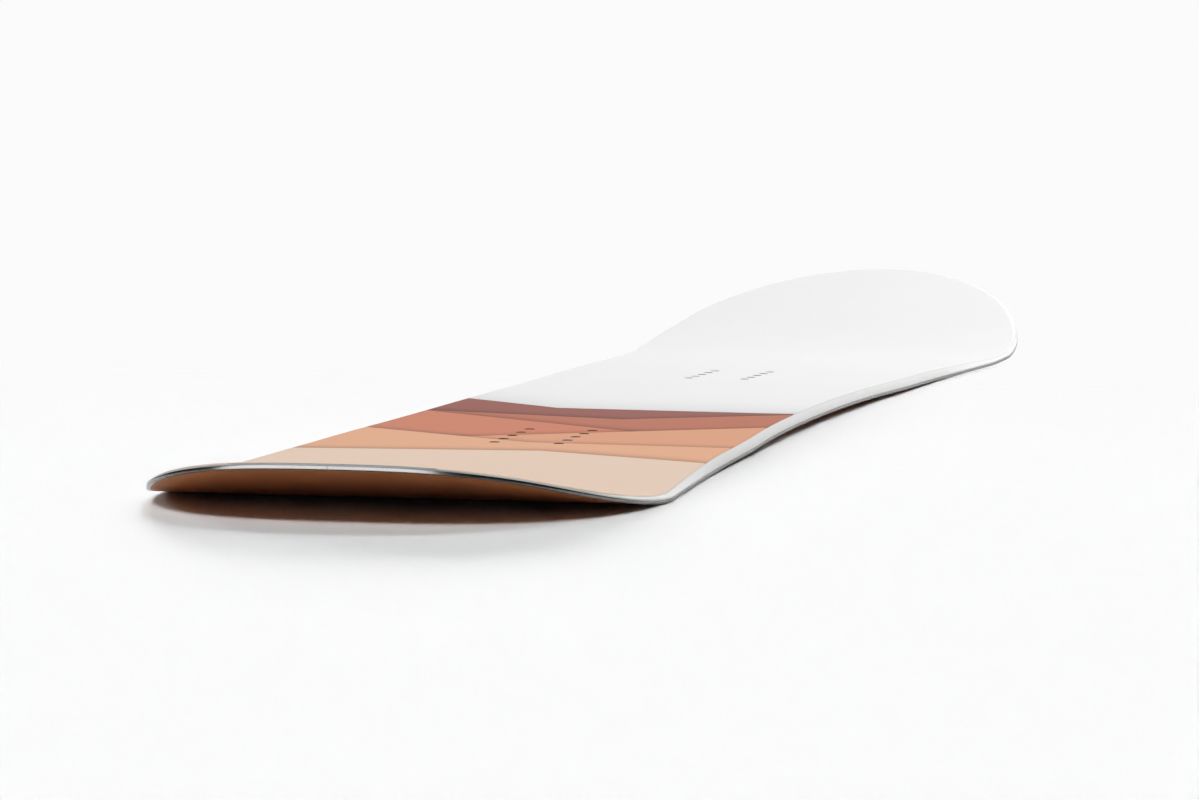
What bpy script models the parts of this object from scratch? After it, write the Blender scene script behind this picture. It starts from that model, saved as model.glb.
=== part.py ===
# A snowboard laid base down, built as the pressed sandwich that it really is.
# Metres, +Z up, +X towards the nose, +Y towards the left edge when the rider looks at the nose.
# The origin is on the ground, under the middle of the board's overall length.
import math

import bmesh
import bpy
import numpy as np

MM = 0.001

# The plan: two rounded tips and a sidecut between the widest points.
# A tip's roundness is its outline's two powers, along and across the board. Two of 2 give half an ellipse.
LENGTH = 1.500
TAIL_TIP = 0.170
NOSE_TIP = 0.250
TIP_WIDTH = 0.290
WAIST_WIDTH = 0.239
TAIL_ROUNDNESS = (2.0, 2.8)
NOSE_ROUNDNESS = (2.0, 2.0)
TAIL_END = -LENGTH / 2
NOSE_END = LENGTH / 2
TAIL_WIDEST = TAIL_END + TAIL_TIP
NOSE_WIDEST = NOSE_END - NOSE_TIP

# The side view: a low arch between the contact points, and a bend and a ramp at each tip.
TAIL_CONTACT = -0.570
NOSE_CONTACT = 0.444
CAMBER = 4.0 * MM
TAIL_BEND_RADIUS = 0.514
TAIL_RAMP_SLOPE = 0.275
NOSE_BEND_RADIUS = 0.690
NOSE_RAMP_SLOPE = 0.222
ARCH_MIDDLE = (TAIL_CONTACT + NOSE_CONTACT) / 2
ARCH_HALF = (NOSE_CONTACT - TAIL_CONTACT) / 2

# The binding inserts: two feet, each with two rows of five on a 40 by 20 mm grid.
REAR_FOOT = -0.315
FRONT_FOOT = 0.185
FEET_MIDDLE = (REAR_FOOT + FRONT_FOOT) / 2
INSERTS_IN_ROW = 5
INSERT_PITCH = 20.0 * MM
ROW_OFFSET = 20.0 * MM
SEAT_HALF = 55.0 * MM

# Beside each foot the edge bulges out a little, for grip.
GRIP_BULGE = 1.8 * MM
GRIP_REACH = 70.0 * MM

# The stack, from the ground up. A glue line is the gap that keeps two layers apart.
GLUE = 0.2 * MM
MIDDLE_THICKNESS = 8.0 * MM
TIP_THICKNESS = 4.3 * MM
TAPER_START = 0.320
TAPER_END = 0.620
BASE_THICKNESS = 1.2 * MM
EDGE_HEIGHT = 1.9 * MM
EDGE_WIDTH = 2.0 * MM
FLANGE_REACH = 7.0 * MM
FLANGE_THICKNESS = 0.5 * MM
LAMINATE_THICKNESS = 0.3 * MM
TOPSHEET_THICKNESS = 0.4 * MM
LAMINATE_BOTTOM = EDGE_HEIGHT + GLUE
CORE_BOTTOM = LAMINATE_BOTTOM + LAMINATE_THICKNESS + GLUE
CORE_DROP = TOPSHEET_THICKNESS + LAMINATE_THICKNESS + 2 * GLUE

# The side: a wall that leans inwards from the steel edge up to the topsheet.
TOPSHEET_INSET = 3.0 * MM
UPPER_LAMINATE_INSET = 2.7 * MM
WALL_TOP_INSET = 2.4 * MM
WALL_FOOT_INSET = 0.1 * MM
LOWER_LAMINATE_INSET = 0.3 * MM
SIDEWALL_WIDTH = 10.0 * MM
WALL_UPRIGHT_SHARE = 0.3

# The core is a row of wooden strips, glued side by side, that end at the two tip spacers.
CORE_TAIL_END = -0.600
CORE_NOSE_END = 0.560
JOINT_GAP = 0.3 * MM
CENTRE_STRIP_HALF = 10.0 * MM
INSERT_STRIP_EDGE = 30.0 * MM
INNER_STRIP_EDGE = 57.0 * MM
MIDDLE_STRIP_EDGE = 84.0 * MM

# One threaded insert is a flanged steel nut with a blind bore, pressed in from below.
BARREL_RADIUS = 4.5 * MM
BORE_RADIUS = 3.0 * MM
FLANGE_RADIUS = 7.5 * MM
INSERT_FLANGE = 1.0 * MM
INSERT_TOP = MIDDLE_THICKNESS - TOPSHEET_THICKNESS - GLUE
INSERT_SIDES = 10
HOLE_CLEARANCE = 0.3 * MM

TIP_STEPS = 16
MERGE = 0.000001

TOPSHEET_WHITE = (0.86, 0.86, 0.87)
SIDEWALL_WHITE = (0.74, 0.76, 0.78)
SPACER_WHITE = (0.80, 0.80, 0.80)
EDGE_STEEL = (0.34, 0.34, 0.36)
INSERT_STEEL = (0.42, 0.42, 0.43)
BASE_ORANGE = (0.80, 0.34, 0.18)
GLASS_RESIN = (0.62, 0.66, 0.50)
POPLAR = (0.72, 0.55, 0.34)
BEECH = (0.60, 0.36, 0.20)


def clear_scene():
    for item in list(bpy.data.objects):
        bpy.data.objects.remove(item, do_unlink=True)


def new_collection(name):
    collection = bpy.data.collections.new(name)
    bpy.context.scene.collection.children.link(collection)
    return collection


def new_material(name, colour, roughness, metallic=0.0):
    material = bpy.data.materials.new(name)
    material.use_nodes = True
    shader = material.node_tree.nodes["Principled BSDF"]
    shader.inputs["Base Color"].default_value = (*colour, 1.0)
    shader.inputs["Roughness"].default_value = roughness
    shader.inputs["Metallic"].default_value = metallic
    return material


def tip_outline(end, length, roundness, steps):
    """Points of one rounded tip, left half, from its widest point to its end, with inward normals."""
    along, across = roundness
    side = math.copysign(1.0, end)
    half = TIP_WIDTH / 2
    points = []
    for step in range(steps + 1):
        turn = math.pi / 2 * step / steps
        u = math.sin(turn) ** (2 / along)
        v = max(math.cos(turn), 0.0) ** (2 / across) if step < steps else 0.0
        normal = np.array([-side * along / length * u ** (along - 1), -across / half * v ** (across - 1)])
        normal /= np.linalg.norm(normal)
        points.append((end - side * length * (1 - u), half * v, normal[0], normal[1]))
    return points


def grip_bulge(x, foot):
    return GRIP_BULGE * math.exp(-((x - foot) / GRIP_REACH) ** 2)


def sidecut_half_width(x):
    middle = (TAIL_WIDEST + NOSE_WIDEST) / 2
    reach = (NOSE_WIDEST - TAIL_WIDEST) / 2
    deepest = (TIP_WIDTH - WAIST_WIDTH) / 2
    arc = WAIST_WIDTH / 2 + deepest * ((x - middle) / reach) ** 2
    return arc + sum(grip_bulge(x, foot) for foot in (REAR_FOOT, FRONT_FOOT))


def sidecut_slope(x):
    middle = (TAIL_WIDEST + NOSE_WIDEST) / 2
    reach = (NOSE_WIDEST - TAIL_WIDEST) / 2
    slope = (TIP_WIDTH - WAIST_WIDTH) * (x - middle) / reach ** 2
    for foot in (REAR_FOOT, FRONT_FOOT):
        slope -= 2 * (x - foot) / GRIP_REACH ** 2 * grip_bulge(x, foot)
    return slope


def middle_stations():
    """Places along the board between the widest points. One flat facet spans each foot's inserts."""
    rear = (REAR_FOOT - SEAT_HALF, REAR_FOOT + SEAT_HALF)
    front = (FRONT_FOOT - SEAT_HALF, FRONT_FOOT + SEAT_HALF)
    tail_part = np.linspace(TAIL_CONTACT, rear[0], 5)
    waist_part = np.linspace(rear[1], front[0], 7)
    nose_part = np.linspace(front[1], NOSE_CONTACT, 5)
    bend_part = ((NOSE_CONTACT + NOSE_WIDEST) / 2,)
    return [float(x) for x in (*tail_part, *waist_part, *nose_part, *bend_part)]


def board_outline():
    """The left half of the plan from the tail's end to the nose's end, with inward normals."""
    points = tip_outline(TAIL_END, TAIL_TIP, TAIL_ROUNDNESS, TIP_STEPS)[::-1]
    for x in middle_stations():
        slope = sidecut_slope(x)
        scale = math.hypot(slope, 1.0)
        points.append((x, sidecut_half_width(x), slope / scale, -1.0 / scale))
    points += tip_outline(NOSE_END, NOSE_TIP, NOSE_ROUNDNESS, TIP_STEPS)
    return points


OUTLINE = board_outline()


def rim(inset):
    """The left half of the plan, moved inwards."""
    return [(x + nx * inset, max(y + ny * inset, 0.0)) for x, y, nx, ny in OUTLINE]


def half_width(x, inset):
    places = rim(inset)
    return float(np.interp(x, [p[0] for p in places], [p[1] for p in places]))


def ramp_height(past, radius, slope):
    """How high the base has risen at a distance past its contact point."""
    bend = radius * slope
    bent = min(max(past, 0.0), bend)
    return bent ** 2 / (2 * radius) + max(past - bend, 0.0) * slope


def base_height(x):
    if x < TAIL_CONTACT:
        return ramp_height(TAIL_CONTACT - x, TAIL_BEND_RADIUS, TAIL_RAMP_SLOPE)
    if x > NOSE_CONTACT:
        return ramp_height(x - NOSE_CONTACT, NOSE_BEND_RADIUS, NOSE_RAMP_SLOPE)
    return CAMBER * (0.5 + 0.5 * math.cos(math.pi * (x - ARCH_MIDDLE) / ARCH_HALF))


def thickness(x):
    share = (abs(x - FEET_MIDDLE) - TAPER_START) / (TAPER_END - TAPER_START)
    share = min(max(share, 0.0), 1.0)
    share = share * share * (3 - 2 * share)
    return MIDDLE_THICKNESS + (TIP_THICKNESS - MIDDLE_THICKNESS) * share


def at(x, y, above):
    """A point at a height above the base's underside."""
    return (x, y, base_height(x) + above)


def below_top(x, drop):
    """The height, above the base's underside, of a layer that is so far below the top."""
    return thickness(x) - drop


def loft(name, rings, material, collection):
    """A closed body through rings of equally many points, made from a grid wrapped round them."""
    count = len(rings[0])
    last = len(rings) - 1
    mesh = bpy.data.meshes.new(name)
    shape = bmesh.new()
    bmesh.ops.create_grid(shape, x_segments=last, y_segments=count, size=1.0)
    for vertex in shape.verts:
        ring = round((vertex.co.x + 1) / 2 * last)
        place = round((vertex.co.y + 1) / 2 * count) % count
        vertex.co = rings[ring][place]
    bmesh.ops.remove_doubles(shape, verts=shape.verts, dist=MERGE)
    open_edges = [edge for edge in shape.edges if edge.is_boundary]
    bmesh.ops.holes_fill(shape, edges=open_edges, sides=0)
    bmesh.ops.recalc_face_normals(shape, faces=shape.faces)
    shape.to_mesh(mesh)
    shape.free()
    mesh.materials.append(material)
    item = bpy.data.objects.new(name, mesh)
    collection.objects.link(item)
    return item


def slab_rings(inset, low, high):
    """Rings across the whole board. low and high give a layer's two heights at a place along it."""
    rings = []
    for x, y in rim(inset):
        bottom = low(x)
        top = high(x)
        rings.append([at(x, y, bottom), at(x, -y, bottom), at(x, -y, top), at(x, y, top)])
    return rings


def make_base_sheet(material, collection):
    rings = slab_rings(EDGE_WIDTH + GLUE, lambda x: 0.0, lambda x: BASE_THICKNESS)
    return loft("base_sheet", rings, material, collection)


def make_upper_laminate(material, collection):
    drop = TOPSHEET_THICKNESS + GLUE
    low = lambda x: below_top(x, drop + LAMINATE_THICKNESS)
    rings = slab_rings(UPPER_LAMINATE_INSET, low, lambda x: below_top(x, drop))
    return loft("upper_glass_laminate", rings, material, collection)


def make_topsheet(material, collection):
    low = lambda x: below_top(x, TOPSHEET_THICKNESS)
    rings = slab_rings(TOPSHEET_INSET, low, thickness)
    return loft("topsheet", rings, material, collection)


def make_lower_laminate(material, collection):
    """The lower glass layer, which steps down to the base sheet between the steel flanges."""
    outer = rim(LOWER_LAMINATE_INSET)
    inner = rim(FLANGE_REACH + GLUE)
    sole = BASE_THICKNESS + GLUE
    step = LAMINATE_BOTTOM
    top = LAMINATE_BOTTOM + LAMINATE_THICKNESS
    rings = []
    for (x, y), (inner_x, inner_y) in zip(outer, inner):
        left = [at(x, y, top), at(x, y, step), at(inner_x, inner_y, step), at(inner_x, inner_y, sole)]
        right = [(px, -py, pz) for px, py, pz in left[::-1]]
        rings.append(left + right)
    return loft("lower_glass_laminate", rings, material, collection)


def make_steel_edge(name, side, material, collection):
    """One edge, from the middle of the tail round its side to the middle of the nose."""
    section = [
        (0.0, 0.0),
        (EDGE_WIDTH, 0.0),
        (EDGE_WIDTH, EDGE_HEIGHT - FLANGE_THICKNESS),
        (FLANGE_REACH, EDGE_HEIGHT - FLANGE_THICKNESS),
        (FLANGE_REACH, EDGE_HEIGHT),
        (0.0, EDGE_HEIGHT),
    ]
    rims = [rim(inset) for inset, above in section]
    rings = []
    for place in range(len(OUTLINE)):
        ring = []
        for points, (inset, above) in zip(rims, section):
            x, y = points[place]
            ring.append(at(x, side * max(y, JOINT_GAP / 2), above))
        rings.append(ring)
    return loft(name, rings, material, collection)


def core_stations():
    inside = [x for x, y, nx, ny in OUTLINE if CORE_TAIL_END + 5 * MM < x < CORE_NOSE_END - 5 * MM]
    return [CORE_TAIL_END, *inside, CORE_NOSE_END]


def make_sidewall(name, side, material, collection):
    """A plastic wall beside the core, upright at its foot and bevelled above."""
    rings = []
    for x in core_stations():
        top = below_top(x, CORE_DROP)
        shoulder = CORE_BOTTOM + WALL_UPRIGHT_SHARE * (top - CORE_BOTTOM)
        foot = side * half_width(x, WALL_FOOT_INSET)
        crown = side * half_width(x, WALL_TOP_INSET)
        inside = side * half_width(x, SIDEWALL_WIDTH)
        rings.append([
            at(x, foot, CORE_BOTTOM),
            at(x, foot, shoulder),
            at(x, crown, top),
            at(x, inside, top),
            at(x, inside, CORE_BOTTOM),
        ])
    return loft(name, rings, material, collection)


def make_core_strip(name, near, far, material, collection):
    """One strip of the core between two distances from the middle line, each a function of x."""
    rings = []
    for x in core_stations():
        top = below_top(x, CORE_DROP)
        rings.append([
            at(x, near(x), CORE_BOTTOM),
            at(x, far(x), CORE_BOTTOM),
            at(x, far(x), top),
            at(x, near(x), top),
        ])
    return loft(name, rings, material, collection)


def make_core(poplar, beech, collection):
    """The strips, from the middle outwards. The beech ones carry the inserts."""
    half = CENTRE_STRIP_HALF
    strips = [make_core_strip("core_strip_centre", lambda x: -half, lambda x: half, poplar, collection)]
    bands = [
        ("insert", half, INSERT_STRIP_EDGE, beech),
        ("inner", INSERT_STRIP_EDGE, INNER_STRIP_EDGE, poplar),
        ("middle", INNER_STRIP_EDGE, MIDDLE_STRIP_EDGE, poplar),
        ("outer", MIDDLE_STRIP_EDGE, None, poplar),
    ]
    for hand, side in (("left", 1), ("right", -1)):
        for word, near, far, material in bands:
            def near_edge(x, near=near, side=side):
                return side * (near + JOINT_GAP)

            def far_edge(x, far=far, side=side):
                reach = far if far else half_width(x, SIDEWALL_WIDTH + JOINT_GAP)
                return side * reach

            name = f"core_strip_{word}_{hand}"
            strips.append(make_core_strip(name, near_edge, far_edge, material, collection))
    return strips


def make_tip_spacer(name, side, joint, material, collection):
    """The plastic piece that fills the sandwich from the core's end to the end of the tip."""
    start = joint + side * JOINT_GAP
    low_rim = rim(LOWER_LAMINATE_INSET)
    high_rim = rim(WALL_TOP_INSET)
    pairs = [(a, b) for a, b in zip(low_rim, high_rim) if side * b[0] > side * start + 5 * MM]
    pairs.sort(key=lambda pair: side * pair[0][0])
    first_low = (start, half_width(start, LOWER_LAMINATE_INSET))
    first_high = (start, half_width(start, WALL_TOP_INSET))
    rings = []
    for (x, y), (top_x, top_y) in [(first_low, first_high), *pairs]:
        top = below_top(top_x, CORE_DROP)
        rings.append([
            at(x, y, CORE_BOTTOM),
            at(x, -y, CORE_BOTTOM),
            at(top_x, -top_y, top),
            at(top_x, top_y, top),
        ])
    return loft(name, rings, material, collection)


def insert_places():
    """The name and the place of every insert, at the height of the flat facet that it is set in."""
    places = []
    for foot, middle in (("rear", REAR_FOOT), ("front", FRONT_FOOT)):
        ends = (middle - SEAT_HALF, middle + SEAT_HALF)
        heights = (base_height(ends[0]), base_height(ends[1]))
        for hand, side in (("left", 1), ("right", -1)):
            for number in range(INSERTS_IN_ROW):
                x = middle + (number - (INSERTS_IN_ROW - 1) / 2) * INSERT_PITCH
                z = float(np.interp(x, ends, heights))
                places.append((f"insert_{foot}_{hand}_{number + 1}", (x, side * ROW_OFFSET, z)))
    return places


def turned_mesh(name, profile):
    """A profile in the XZ plane, drawn as edges, for a Screw modifier to turn."""
    mesh = bpy.data.meshes.new(name)
    edges = [(index, index + 1) for index in range(len(profile) - 1)]
    mesh.from_pydata([(radius, 0.0, height) for radius, height in profile], edges, [])
    return mesh


def turn(item):
    """Turns an object's profile into a closed round body."""
    screw = item.modifiers.new("turn", "SCREW")
    screw.steps = INSERT_SIDES
    screw.render_steps = INSERT_SIDES
    screw.use_merge_vertices = True
    screw.merge_threshold = MERGE


def make_inserts(material, collection):
    """Flanged nuts. All share one profile, which runs down the outer side."""
    bore_end = CORE_BOTTOM + INSERT_FLANGE
    profile = [
        (0.0, bore_end),
        (BORE_RADIUS, bore_end),
        (BORE_RADIUS, INSERT_TOP),
        (BARREL_RADIUS, INSERT_TOP),
        (BARREL_RADIUS, bore_end),
        (FLANGE_RADIUS, bore_end),
        (FLANGE_RADIUS, CORE_BOTTOM),
        (0.0, CORE_BOTTOM),
    ]
    mesh = turned_mesh("threaded_insert", profile)
    mesh.materials.append(material)
    for name, place in insert_places():
        item = bpy.data.objects.new(name, mesh)
        item.location = place
        turn(item)
        collection.objects.link(item)


def make_hole_cutters(collection):
    """Stepped plugs: wide round a flange, narrower round a barrel, and a screw's width in the topsheet."""
    above = MIDDLE_THICKNESS + 1.0 * MM
    below = CORE_BOTTOM - 0.1 * MM
    shoulder = CORE_BOTTOM + INSERT_FLANGE + HOLE_CLEARANCE
    collar = INSERT_TOP + GLUE / 2
    screw = BORE_RADIUS + HOLE_CLEARANCE
    barrel = BARREL_RADIUS + HOLE_CLEARANCE
    flange = FLANGE_RADIUS + HOLE_CLEARANCE
    profile = [
        (0.0, above),
        (screw, above),
        (screw, collar),
        (barrel, collar),
        (barrel, shoulder),
        (flange, shoulder),
        (flange, below),
        (0.0, below),
    ]
    mesh = turned_mesh("insert_hole", profile)
    for name, place in insert_places():
        item = bpy.data.objects.new(name.replace("insert", "hole"), mesh)
        item.location = place
        item.hide_render = True
        item.display_type = "WIRE"
        turn(item)
        collection.objects.link(item)


def cut_holes(items, cutters):
    for item in items:
        cut = item.modifiers.new("insert_holes", "BOOLEAN")
        cut.operation = "DIFFERENCE"
        cut.solver = "EXACT"
        cut.operand_type = "COLLECTION"
        cut.collection = cutters


def gather_under_origin(collection):
    """Parents every piece to one empty on the ground, under the middle of the board."""
    origin = bpy.data.objects.new("board_origin", None)
    pieces = list(collection.objects)
    collection.objects.link(origin)
    for piece in pieces:
        piece.parent = origin


def build():
    clear_scene()
    board = new_collection("snowboard")
    cutters = new_collection("insert_hole_cutters")
    white_plastic = new_material("topsheet_white", TOPSHEET_WHITE, 0.25)
    wall_plastic = new_material("sidewall_white", SIDEWALL_WHITE, 0.40)
    spacer_plastic = new_material("spacer_white", SPACER_WHITE, 0.50)
    edge_steel = new_material("edge_steel", EDGE_STEEL, 0.35, 1.0)
    insert_steel = new_material("insert_steel", INSERT_STEEL, 0.40, 1.0)
    base_plastic = new_material("base_orange", BASE_ORANGE, 0.45)
    glass = new_material("glass_resin", GLASS_RESIN, 0.50)
    poplar = new_material("poplar", POPLAR, 0.70)
    beech = new_material("beech", BEECH, 0.65)

    make_base_sheet(base_plastic, board)
    make_steel_edge("steel_edge_left", 1, edge_steel, board)
    make_steel_edge("steel_edge_right", -1, edge_steel, board)
    make_lower_laminate(glass, board)
    make_core(poplar, beech, board)
    make_sidewall("sidewall_left", 1, wall_plastic, board)
    make_sidewall("sidewall_right", -1, wall_plastic, board)
    make_tip_spacer("tail_tip_spacer", -1, CORE_TAIL_END, spacer_plastic, board)
    make_tip_spacer("nose_tip_spacer", 1, CORE_NOSE_END, spacer_plastic, board)
    make_upper_laminate(glass, board)
    make_topsheet(white_plastic, board)
    make_inserts(insert_steel, board)

    make_hole_cutters(cutters)
    names = ("topsheet", "upper_glass_laminate", "core_strip_insert_left", "core_strip_insert_right")
    cut_holes([board.objects[name] for name in names], cutters)
    gather_under_origin(board)


build()
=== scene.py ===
# %% [markdown]
# A snowboard lies base down on a white studio floor. A real one is a sandwich that is laid up flat, layer
# on layer, glued and then pressed in a curved mould. This file builds the visible board in the same order:
# sheets are cut to the plan, their rims are milled, and at the end each piece is pressed into its side view.
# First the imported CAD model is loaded. It gives the frame that every piece has to fit.

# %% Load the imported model
import math

import bmesh
import bpy
import numpy as np
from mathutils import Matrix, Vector, kdtree


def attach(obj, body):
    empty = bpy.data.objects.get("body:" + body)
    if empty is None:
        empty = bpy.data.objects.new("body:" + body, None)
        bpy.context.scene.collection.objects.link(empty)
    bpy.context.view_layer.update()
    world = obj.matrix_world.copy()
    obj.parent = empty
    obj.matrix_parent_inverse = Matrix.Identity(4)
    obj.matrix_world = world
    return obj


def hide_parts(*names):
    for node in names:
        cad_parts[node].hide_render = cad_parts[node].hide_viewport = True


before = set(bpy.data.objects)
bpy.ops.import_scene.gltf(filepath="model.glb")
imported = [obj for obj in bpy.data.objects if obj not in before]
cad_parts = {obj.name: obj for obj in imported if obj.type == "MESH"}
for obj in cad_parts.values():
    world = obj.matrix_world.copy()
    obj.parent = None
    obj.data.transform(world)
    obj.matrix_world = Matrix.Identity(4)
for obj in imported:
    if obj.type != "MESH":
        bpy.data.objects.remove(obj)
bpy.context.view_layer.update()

MM = 0.001

# %% [markdown]
# The plan of a snowboard is two rounded tips with a shallow arc, the sidecut, between the two widest places.
# It could be traced by hand with a curve. Here it is a formula instead, since the same formula cut the CAD
# layers, and every piece has to follow it to a tenth of a millimetre. The blunt tail is a squarish ellipse,
# and the nose is half a true one. Beside each foot the edge bulges out by under 2 mm, for grip.

# %% The plan
TIP_WIDTH = 0.290
WAIST_WIDTH = 0.239
TAIL_END = -0.750
NOSE_END = 0.750
TAIL_TIP = 0.170
NOSE_TIP = 0.250
TAIL_WIDEST = TAIL_END + TAIL_TIP
NOSE_WIDEST = NOSE_END - NOSE_TIP
SIDECUT_MIDDLE = (TAIL_WIDEST + NOSE_WIDEST) / 2
SIDECUT_REACH = (NOSE_WIDEST - TAIL_WIDEST) / 2
SIDECUT_DEPTH = (TIP_WIDTH - WAIST_WIDTH) / 2
TAIL_SQUARENESS = 2.8
NOSE_SQUARENESS = 2.0
TAIL_STEPS = 84
SIDE_STEPS = 108
NOSE_STEPS = 96
REAR_FOOT = -0.315
FRONT_FOOT = 0.185
FEET = (REAR_FOOT, FRONT_FOOT)
HANDS = (("left", 1), ("right", -1))
GRIP_BULGE = 1.8 * MM
GRIP_REACH = 70.0 * MM


def tip_arc(end, tip, squareness, steps):
    """The left half of one tip, from its widest place to its end."""
    side = math.copysign(1.0, end)
    arc = []
    for step in range(steps):
        turn = math.pi / 2 * step / steps
        x = end - side * tip * (1 - math.sin(turn))
        arc.append((x, TIP_WIDTH / 2 * math.cos(turn) ** (2 / squareness)))
    return arc + [(end, 0.0)]


def sidecut(x):
    """Half the board's width between the widest places, with the bulges beside the feet."""
    arc = WAIST_WIDTH / 2 + SIDECUT_DEPTH * ((x - SIDECUT_MIDDLE) / SIDECUT_REACH) ** 2
    return arc + sum(GRIP_BULGE * math.exp(-((x - foot) / GRIP_REACH) ** 2) for foot in FEET)


def board_plan():
    """All points of the plan, from the nose's end round the left side to the tail and back on the right."""
    nose = tip_arc(NOSE_END, NOSE_TIP, NOSE_SQUARENESS, NOSE_STEPS)
    tail = tip_arc(TAIL_END, TAIL_TIP, TAIL_SQUARENESS, TAIL_STEPS)
    side = [(float(x), sidecut(x)) for x in np.linspace(NOSE_WIDEST, TAIL_WIDEST, SIDE_STEPS + 1)[1:-1]]
    left = nose[::-1] + side + tail
    right = [(x, -y) for x, y in left[-2:0:-1]]
    return left + right


PLAN = board_plan()
print("plan points:", len(PLAN))

# %% [markdown]
# Seen from the side, the board touches the ground along two lines. Between them it arches up by 4 mm, which
# is its camber. Beyond them each tip bends up and then runs straight. The board is thickest between the feet
# and thins towards the tips, and only the core thins: the layers below and above it keep their thickness.
# The mould bends the sandwich, it doesn't shear it. So a rim stays square to the board's surface, and at the
# risen tips its outer face looks up a little.

# %% The mould
TAIL_CONTACT = -0.570
NOSE_CONTACT = 0.444
CAMBER = 4.0 * MM
# Each tip's bend: the radius of its arc, and the slope at which it runs on.
TAIL_BEND = (0.514, 0.275)
NOSE_BEND = (0.690, 0.222)
THICK = 8.0 * MM
THIN = 4.3 * MM
FEET_MIDDLE = -0.065
# How far from the feet's middle the thinning starts and ends.
TAPER = (0.320, 0.620)
CORE_FOOT = 2.6 * MM
CORE_TOP = 6.9 * MM


def ramp(past, radius, slope):
    """How far the base has risen past its contact line: an arc of a radius, then a straight slope."""
    past = np.maximum(past, 0.0)
    bent = np.minimum(past, radius * slope)
    return bent ** 2 / (2 * radius) + (past - bent) * slope


def base_height(x):
    """The height of the base's underside above the ground."""
    middle = (TAIL_CONTACT + NOSE_CONTACT) / 2
    half = (NOSE_CONTACT - TAIL_CONTACT) / 2
    arch = CAMBER * (0.5 + 0.5 * np.cos(np.pi * np.clip((x - middle) / half, -1.0, 1.0)))
    return arch + ramp(TAIL_CONTACT - x, *TAIL_BEND) + ramp(x - NOSE_CONTACT, *NOSE_BEND)


def thickness(x):
    """The board's whole thickness at a place along it."""
    share = np.clip((np.abs(x - FEET_MIDDLE) - TAPER[0]) / (TAPER[1] - TAPER[0]), 0.0, 1.0)
    return THICK + (THIN - THICK) * share * share * (3 - 2 * share)


def base_angle(x):
    """How steeply the base rises towards the nose, as an angle."""
    near = 1.0 * MM
    return np.arctan((base_height(x + near) - base_height(x - near)) / (2 * near))


def pressed(x, z, drop=0.0):
    """Where the mould takes a point at a height z in the flat sandwich, less a drop: along and up."""
    squeeze = (thickness(x) - THICK) / (CORE_TOP - CORE_FOOT)
    above = z + (np.clip(z, CORE_FOOT, CORE_TOP) - CORE_FOOT) * squeeze - drop
    angle = base_angle(x)
    return x - above * np.sin(angle), base_height(x) + above * np.cos(angle)


print("rise of the tail and the nose, mm:", round(base_height(TAIL_END) * 1000, 1),
      round(base_height(NOSE_END) * 1000, 1))

# %% [markdown]
# A few small helpers stand for the hands at the bench. Each opens a piece in edit mode, selects faces or
# edges by where they are, and runs one of Blender's own tools on them. Everything is deselected first,
# because a tool works on all that is selected.

# %% Bench tools
# A face with more corners than this is one of a piece's two great faces.
GREAT_FACE = 20
# How far a normal points up at least on a level face, and at most on an upright one.
LEVEL = 0.9
UPRIGHT = 0.5


def start_piece(name, primitive, **settings):
    """Adds a primitive with one of Blender's own operators. It alone is selected then."""
    bpy.ops.object.select_all(action="DESELECT")
    primitive(**settings)
    piece = bpy.context.active_object
    piece.name = name
    piece.data.name = name
    return piece


def report(piece):
    print(piece.name, len(piece.data.polygons), "faces")


def take(piece):
    """Selects one object alone and makes it active."""
    bpy.ops.object.select_all(action="DESELECT")
    piece.select_set(True)
    bpy.context.view_layer.objects.active = piece


def open_piece(piece):
    take(piece)
    bpy.ops.object.mode_set(mode="EDIT")
    bpy.ops.mesh.select_all(action="DESELECT")


def close_piece():
    bpy.ops.object.mode_set(mode="OBJECT")


def pick(piece, kind, wanted):
    """In edit mode, selects only the parts, kind FACE or EDGE, that wanted(part) accepts."""
    bpy.ops.mesh.select_mode(type=kind)
    bpy.ops.mesh.select_all(action="DESELECT")
    mesh = bmesh.from_edit_mesh(piece.data)
    for part in mesh.faces if kind == "FACE" else mesh.edges:
        part.select_set(bool(wanted(part)))
    bmesh.update_edit_mesh(piece.data)


def is_great(face, facing):
    """Whether a face is the one large face on top (facing 1) or below (facing -1)."""
    return len(face.verts) > GREAT_FACE and face.normal.z * facing > LEVEL


def step_in(piece, facing, steps):
    """Insets the great face step by step. Each step is how far inwards, and how far out of the face."""
    pick(piece, "FACE", lambda face: is_great(face, facing))
    for inwards, outwards in steps:
        bpy.ops.mesh.inset(thickness=inwards, depth=outwards, use_even_offset=True)


def extrude(move):
    """Draws new walls out of what is selected, by a move along X, Y and Z."""
    bpy.ops.mesh.extrude_region_move(TRANSFORM_OT_translate={"value": move})


def select_all():
    bpy.ops.mesh.select_all(action="SELECT")


def face_outwards():
    select_all()
    bpy.ops.mesh.normals_make_consistent(inside=False)


def mill(piece, facing, steps):
    """Opens a piece, steps in on one of its great faces, and closes it."""
    open_piece(piece)
    step_in(piece, facing, steps)
    close_piece()


def saw(piece, place, facing):
    """Cuts the piece at a plane, drops the part that facing points to, and closes the cut."""
    open_piece(piece)
    select_all()
    bpy.ops.mesh.bisect(plane_co=place, plane_no=facing, use_fill=True, clear_outer=True)
    close_piece()


def copy_of(piece, name):
    """A copy with a mesh of its own."""
    take(piece)
    bpy.ops.object.duplicate(linked=False)
    copy = bpy.context.active_object
    copy.name = name
    copy.data.name = name
    return copy


print("bench tools ready")

# %% [markdown]
# Every layer starts as one blank: a sheet in the board's plan. A disc is added, its points are laid on the
# plan, and the sheet is cut back from the outline by an even inset. Raised by a little, it is a closed slab,
# whose rim can be milled by further insets that also lift the face.

# %% Cut a blank and turn it into a slab


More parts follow.
